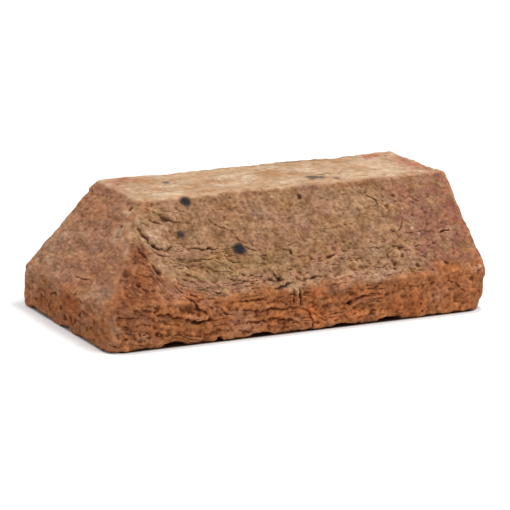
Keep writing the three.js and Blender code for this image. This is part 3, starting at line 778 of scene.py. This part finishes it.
def hollows(points, normals, edges, rounds):
    """How far each point lies below its surroundings, in millimetres; the more rounds, the wider they are."""
    first, second = edges.T
    count = len(points)
    neighbours = np.bincount(edges.ravel(), minlength=count)[:, None]
    smoothed = points.copy()
    for _ in range(rounds):
        total = [np.bincount(first, line[second], count) + np.bincount(second, line[first], count)
                 for line in smoothed.T]
        smoothed = 0.5 * smoothed + 0.5 * np.array(total).T / neighbours
    return ((smoothed - points) * normals).sum(1)


def make_brick():
    piece = object_from("clay_brick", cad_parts[NODE].data.copy())
    apply_modifier(piece, "REMESH", mode="VOXEL", voxel_size=VOXEL * MM)
    apply_modifier(piece, "SMOOTH", factor=0.5, iterations=SOFTEN_ROUNDS)
    mesh = piece.data
    skin = Skin(read(mesh.vertices, "co") / MM, read(mesh.vertex_normals, "vector"))
    whole_form(skin)
    relief(skin)
    scattered_marks(skin)
    hand_marks(skin)
    painted_foot_shade(skin)
    places = skin.moved()
    mesh.vertices.foreach_set("co", (places * MM).ravel())
    edges = read(mesh.edges, "vertices", 2, np.int32)
    fine = hollows(places, skin.normals, edges, FINE_ROUNDS)
    broad = hollows(places, skin.normals, edges, BROAD_ROUNDS)
    # how deep each point lies in the skin's hollows, which drives painted shade in hollows and a painted
    # highlight on ridges
    painted_relief_shading = np.clip(0.5 * fine / FINE_DEPTH + 0.5 * broad / BROAD_DEPTH, -1, 1)
    for name, values in {"painted_relief_shading": painted_relief_shading, **skin.marks, **colour_masks(skin)}.items():
        layer = mesh.attributes.new(name, "FLOAT", "POINT")
        layer.data.foreach_set("value", values.astype(np.float32))
    mesh.update()
    hidden = skin.share[BACK] + skin.share[PLAIN_END] + skin.share[BED] > 0.5
    group = piece.vertex_groups.new(name=DETAIL_GROUP)
    group.add(np.flatnonzero(hidden).tolist(), HIDDEN_WEIGHT, "REPLACE")
    group.add(np.flatnonzero(~hidden).tolist(), SEEN_WEIGHT, "REPLACE")
    apply_modifier(piece, "TRIANGULATE")
    ratio = MOST_TRIANGLES / len(mesh.polygons)
    if ratio < 1:
        apply_modifier(
            piece, "DECIMATE", ratio=ratio, vertex_group=DETAIL_GROUP, vertex_group_factor=DETAIL_FACTOR
        )
    piece.vertex_groups.clear()
    piece.data.shade_smooth()
    piece.data.materials.clear()
    piece.data.materials.append(clay_material())
    return piece


# ---------- the material
def from_srgb(red, green, blue):
    def channel(value):
        value /= 255
        return value / 12.92 if value <= 0.04045 else ((value + 0.055) / 1.055) ** 2.4

    return (channel(red), channel(green), channel(blue), 1.0)


BUFF = (from_srgb(175, 134, 98), from_srgb(136, 97, 65))  # the skin, and its darker mottles
CLAYS = [  # laid over the buff in this order: attribute, skin, darker mottles, both in sRGB
    ("end", (188, 132, 96), (158, 108, 76)),
    ("top", (211, 175, 141), (189, 148, 112)),
    ("tan", (190, 146, 104), (172, 128, 88)),
    ("cream", (228, 201, 169), (208, 173, 138)),
    ("red", (180, 113, 66), (148, 88, 50)),
    ("ginger", (195, 122, 75), (167, 100, 58)),
    ("umber", (158, 103, 68), (124, 77, 48)),
    ("olive", (162, 127, 82), (128, 97, 58)),
    ("mauve", (180, 132, 106), (148, 104, 82)),
    ("russet", (148, 86, 51), (106, 59, 34)),
    ("plum", (164, 112, 86), (134, 86, 66)),
    ("orange", (196, 116, 62), (156, 86, 44)),
    ("flame", (244, 146, 80), (226, 126, 66)),
    ("pink", (192, 122, 96), (158, 94, 72)),
    ("pale", (204, 166, 133), (176, 134, 101)),
]
IRON = from_srgb(38, 36, 40)
# painted shade for the creases, pits, fold grooves and the foot
CREASE_SHADE = from_srgb(56, 30, 15)
GRAIN = from_srgb(214, 170, 130)
SPECK = from_srgb(236, 178, 132)  # the smaller pale grains that lie all over it
WARM = (1.08, 0.96, 0.84, 1.0)  # what the warmer and the greyer drifts of the clay multiply its colour by
GREY = (0.89, 0.95, 1.06, 1.0)
HOLLOW_SHADE = (0.48, 0.36, 0.27, 1.0)  # the same for the painted shade in its hollows and the painted highlight on its ridges
RIDGE_HIGHLIGHT = (1.19, 1.22, 1.26, 1.0)
GRAIN_CONTRAST, TOP_CONTRAST = 0.42, 0.12  # how strongly a fine grain lightens and darkens the clay
FINE_GRIT, COARSE_GRIT, TOP_GRIT = 0.75, 2.4, 0.3  # the bump's two grains, and their share on the top
BUMP = 0.5
ROUGHNESS, GLOSS = 0.92, 0.25


class Shader:
    """Short ways to add nodes to a material or a world."""

    def __init__(self, owner):
        owner.use_nodes = True
        self.tree = owner.node_tree
        self.tree.nodes.clear()

    def node(self, kind, inputs=None, **settings):
        made = self.tree.nodes.new(kind)
        for key, value in settings.items():
            setattr(made, key, value)
        for key, value in (inputs or {}).items():
            if isinstance(value, bpy.types.NodeSocket):
                self.tree.links.new(value, made.inputs[key])
            else:
                made.inputs[key].default_value = value
        return made

    def attribute(self, name):
        return self.node("ShaderNodeAttribute", attribute_name=name).outputs["Fac"]

    def noise(self, vector, scale, detail=3, roughness=0.6, seed=0.0):
        inputs = {"Vector": vector, "W": seed, "Scale": scale, "Detail": detail, "Roughness": roughness}
        return self.node("ShaderNodeTexNoise", inputs, noise_dimensions="4D").outputs["Fac"]

    def ramp(self, value, low, high, to_low=0.0, to_high=1.0):
        inputs = {"Value": value, "From Min": low, "From Max": high, "To Min": to_low, "To Max": to_high}
        return self.node("ShaderNodeMapRange", inputs, interpolation_type="SMOOTHSTEP").outputs["Result"]

    def maths(self, operation, first, second):
        return self.node("ShaderNodeMath", {0: first, 1: second}, operation=operation).outputs[0]

    def vector(self, operation, inputs):
        return self.node("ShaderNodeVectorMath", inputs, operation=operation)

    def blend(self, share, first, second):
        return self.node("ShaderNodeMix", {0: share, 2: first, 3: second}, data_type="FLOAT").outputs[0]

    def mix(self, share, first, second, blend="MIX"):
        inputs = {0: share, 6: first, 7: second}
        return self.node("ShaderNodeMix", inputs, data_type="RGBA", blend_type=blend).outputs[2]


def clay_material():
    material = bpy.data.materials.new("fired_clay")
    shader = Shader(material)
    place = shader.node("ShaderNodeTexCoord").outputs["Object"]
    drawn_out = shader.vector("MULTIPLY", {0: place, 1: DRAWN_OUT}).outputs[0]
    end = shader.attribute("end")

    def noise(*settings, **named):
        """Noise with this many lumps to a metre, drawn out along the splayed end as the relief is."""
        plain = shader.noise(place, *settings, **named)
        return shader.blend(end, plain, shader.noise(drawn_out, *settings, **named))

    def tint(value, fades_in, tone, most=1.0, blend="MULTIPLY"):
        nonlocal colour
        colour = shader.mix(shader.ramp(value, *fades_in, 0.0, most), colour, tone, blend)

    mottle = shader.ramp(noise(150, 4, 0.65), 0.36, 0.66)
    grain = noise(520, 1, 0.5)
    specks = noise(330, 2, 0.5, seed=13.0)
    warmth = noise(90, 3, 0.6, seed=5.0)

    colour = shader.mix(mottle, *BUFF)
    for name, skin, dark in CLAYS:
        clay = shader.mix(mottle, from_srgb(*skin), from_srgb(*dark))
        colour = shader.mix(shader.attribute(name), colour, clay)
    tint(warmth, (0.5, 0.75), WARM)
    tint(warmth, (0.5, 0.25), GREY)
    on_top = shader.attribute("top")
    contrast = shader.ramp(on_top, 0, 1, GRAIN_CONTRAST, TOP_CONTRAST)
    colour = shader.mix(contrast, colour, shader.ramp(grain, 0.25, 0.75, 0.2, 0.8), "OVERLAY")
    tint(specks, (0.62, 0.8), SPECK, 0.6, "MIX")
    tint(specks, (0.38, 0.2), HOLLOW_SHADE, 0.8)
    # painted shade in the hollows and a painted highlight on the ridges
    painted_relief_shading = shader.maths("ADD", shader.attribute("painted_relief_shading"), shader.ramp(grain, 0.3, 0.7, 0.15, -0.15))
    tint(painted_relief_shading, (0.0, 1.0), HOLLOW_SHADE)
    tint(painted_relief_shading, (0.0, -1.0), RIDGE_HIGHLIGHT)
    # painted shade: creases, pits, fold grooves and the foot are darkened towards this colour
    painted_crease_shade = shader.maths("ADD", shader.attribute("crease"), shader.ramp(grain, 0.3, 0.7, -0.15, 0.15))
    tint(painted_crease_shade, (0.2, 0.9), CREASE_SHADE, blend="MIX")
    colour = shader.mix(shader.attribute("grain"), colour, GRAIN)
    colour = shader.mix(shader.attribute("iron"), colour, IRON)

    fine_grit = shader.maths("MULTIPLY", noise(520, 1, 0.5, seed=9.0), FINE_GRIT)
    coarse_grit = shader.maths("MULTIPLY", noise(270, 1, 0.4, seed=21.0), COARSE_GRIT)
    grit = shader.maths("ADD", fine_grit, coarse_grit)
    grit = shader.maths("MULTIPLY", grit, shader.ramp(on_top, 0, 1, 1.0, TOP_GRIT))
    bump = shader.node("ShaderNodeBump", {"Height": grit, "Strength": BUMP, "Distance": MM})
    surface = shader.node("ShaderNodeBsdfPrincipled", {
        "Base Color": colour,
        "Roughness": ROUGHNESS,
        "Specular IOR Level": GLOSS,
        "Normal": bump.outputs["Normal"],
    })
    shader.node("ShaderNodeOutputMaterial", {"Surface": surface.outputs["BSDF"]})
    return material


# ---------- stage, light, camera
FLOOR_SIZE = 6.0
WHITE = (1.0, 1.0, 1.0, 1.0)
TABLE = (0.9, 0.9, 0.9, 1.0)
SHADE = (0.10, 0.055, 0.032, 1.0)  # under the brick no light reaches the table
TABLE_GLOW = 0.34  # keeps the table white to the camera, but for the part under the brick
FAR_GLOW = 1.0  # the same far from the brick, where little light falls
FAR_NEAR, FAR_OUT = 0.3, 0.9  # metres from the middle between which the one gives way to the other
FRONT_SHADE = 0.005  # metres that the shade under the brick reaches out along its front and back
SHADE_CORNER = 0.012  # the radius of that shade's corners, in metres
WORLD_LIGHT = 0.5
KEY_SIZE, KEY_POWER = 0.6, 13.0
KEY_PLACE, KEY_AIM = (0.3, -0.45, 1.42), (0, 0, 0.03)


def make_stage():
    mesh = bpy.data.meshes.new("floor")
    half = FLOOR_SIZE / 2
    corners = [(-half, -half, 0), (half, -half, 0), (half, half, 0), (-half, half, 0)]
    mesh.from_pydata(corners, [], [(0, 1, 2, 3)])
    floor = object_from("floor", mesh)
    material = bpy.data.materials.new("white_table")
    shader = Shader(material)
    seen = shader.node("ShaderNodeLightPath").outputs["Is Camera Ray"]
    place = shader.node("ShaderNodeTexCoord").outputs["Object"]
    axes = shader.node("ShaderNodeSeparateXYZ", {"Vector": place}).outputs
    edges = (LENGTH / 2 * MM, WIDTH / 2 * MM + FRONT_SHADE)
    beyond = [shader.maths("SUBTRACT", shader.maths("ABSOLUTE", axes[k], 0.0), edges[k]) for k in (0, 1)]
    inset = [shader.maths("MAXIMUM", shader.maths("ADD", distance, SHADE_CORNER), 0.0) for distance in beyond]
    inset = shader.node("ShaderNodeCombineXYZ", dict(enumerate(inset))).outputs[0]
    inset = shader.vector("LENGTH", {0: inset}).outputs["Value"]
    beyond = shader.maths("SUBTRACT", inset, SHADE_CORNER)
    clear = shader.ramp(beyond, -0.001, 0.0005)
    far = shader.vector("LENGTH", {0: place}).outputs["Value"]
    glow = shader.maths("MULTIPLY", seen, shader.ramp(far, FAR_NEAR, FAR_OUT, TABLE_GLOW, FAR_GLOW))
    glow = shader.maths("MULTIPLY", glow, clear)
    under = shader.ramp(beyond, -0.006, -0.003)
    paper = shader.node("ShaderNodeBsdfDiffuse", {"Color": shader.mix(under, SHADE, TABLE)})
    glow = shader.node("ShaderNodeEmission", {"Color": WHITE, "Strength": glow})
    both = shader.node("ShaderNodeAddShader", {0: paper.outputs[0], 1: glow.outputs[0]})
    shader.node("ShaderNodeOutputMaterial", {"Surface": both.outputs[0]})
    mesh.materials.append(material)


def make_world():
    world = bpy.data.worlds.new("studio")
    bpy.context.scene.world = world
    shader = Shader(world)
    path = shader.node("ShaderNodeLightPath").outputs
    seen = shader.maths("MAXIMUM", path["Is Camera Ray"], path["Is Glossy Ray"])
    seen = shader.maths("MAXIMUM", seen, path["Is Transmission Ray"])
    strength = shader.node("ShaderNodeMapRange", {"Value": seen, "To Min": WORLD_LIGHT, "To Max": 1.0})
    background = shader.node("ShaderNodeBackground", {"Color": WHITE, "Strength": strength.outputs["Result"]})
    shader.node("ShaderNodeOutputWorld", {"Surface": background.outputs[0]})


def make_lamps():
    lamp = bpy.data.lights.new("overhead_softbox", "AREA")
    lamp.shape = "SQUARE"
    lamp.size = KEY_SIZE
    lamp.energy = KEY_POWER
    holder = object_from("overhead_softbox", lamp)
    holder.location = KEY_PLACE
    direction = Vector(KEY_AIM) - holder.location
    holder.rotation_euler = direction.to_track_quat("-Z", "Y").to_euler()


# The camera: a long lens from the left of the front, slightly above.
IMAGE_SIDE = 510  # pixels
FOCAL_LENGTH = 3300  # pixels
SENSOR = 36.0  # millimetres
YAW, PITCH, ROLL = math.radians(27.15), math.radians(14.11), math.radians(-0.90)
DISTANCE = 1.802  # metres, as the next two
TARGET = Vector((0, 0, 0.035))
OFF_AXIS = (0.00084, 0.00526)  # how far the target stands right of and above the picture's middle


def make_camera():
    forward = Vector((math.cos(PITCH) * math.sin(YAW), math.cos(PITCH) * math.cos(YAW), -math.sin(PITCH)))
    right = Vector((math.cos(YAW), -math.sin(YAW), 0))
    up = right.cross(forward)
    tilted_right = math.cos(ROLL) * right - math.sin(ROLL) * up
    tilted_up = math.sin(ROLL) * right + math.cos(ROLL) * up
    place = TARGET - DISTANCE * forward - OFF_AXIS[0] * tilted_right - OFF_AXIS[1] * tilted_up
    data = bpy.data.cameras.new("camera")
    data.sensor_width = SENSOR
    data.lens = FOCAL_LENGTH / IMAGE_SIDE * SENSOR
    data.clip_end = 50
    camera = object_from("camera", data)
    axes = Matrix((tilted_right, tilted_up, -forward)).transposed()
    camera.matrix_world = Matrix.Translation(place) @ axes.to_4x4()
    bpy.context.scene.camera = camera


# ---------- the scene
bpy.context.scene.view_settings.view_transform = "Standard"
make_camera()
make_world()
make_lamps()
make_stage()
brick = make_brick()
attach(brick, "root")
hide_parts(NODE)
